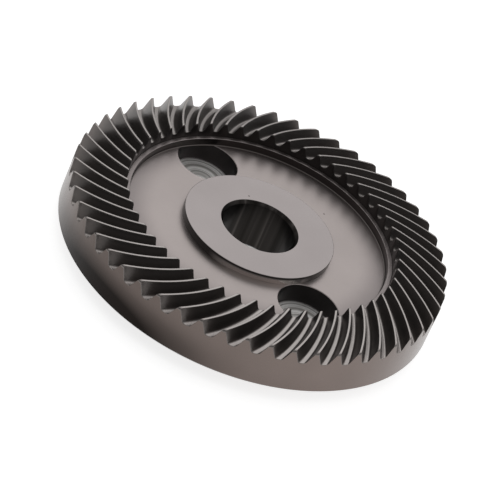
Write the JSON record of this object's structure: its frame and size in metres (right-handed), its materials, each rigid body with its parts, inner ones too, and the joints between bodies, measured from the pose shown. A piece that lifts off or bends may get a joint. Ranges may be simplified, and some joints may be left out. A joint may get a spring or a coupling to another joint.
{
  "type": "spiral bevel crown gear",
  "caption": "Flat crown gear with curved bevel teeth on its face, a recessed disc with two blind lock-pin holes, and a raised hub with a chamfered bore.",
  "frame": {"origin": "centre of the bore at the hub's lower end", "axes": "+Z along the bore axis towards the teeth; the two lock-pin holes lie on the X axis"},
  "size_m": [0.0784, 0.0784, 0.0141],
  "materials": {
    "ring_steel": "dark gunmetal steel, turned rim, ground tooth flanks",
    "disc_steel": "satin turned steel, bright drilled hole floors",
    "hub_steel": "satin ground face, dark bore with a bright chamfer"
  },
  "bodies": {
    "root": {"toothed_ring": "ring_steel", "carrier_disc": "disc_steel", "hub": "hub_steel"}
  },
  "joints": []
}
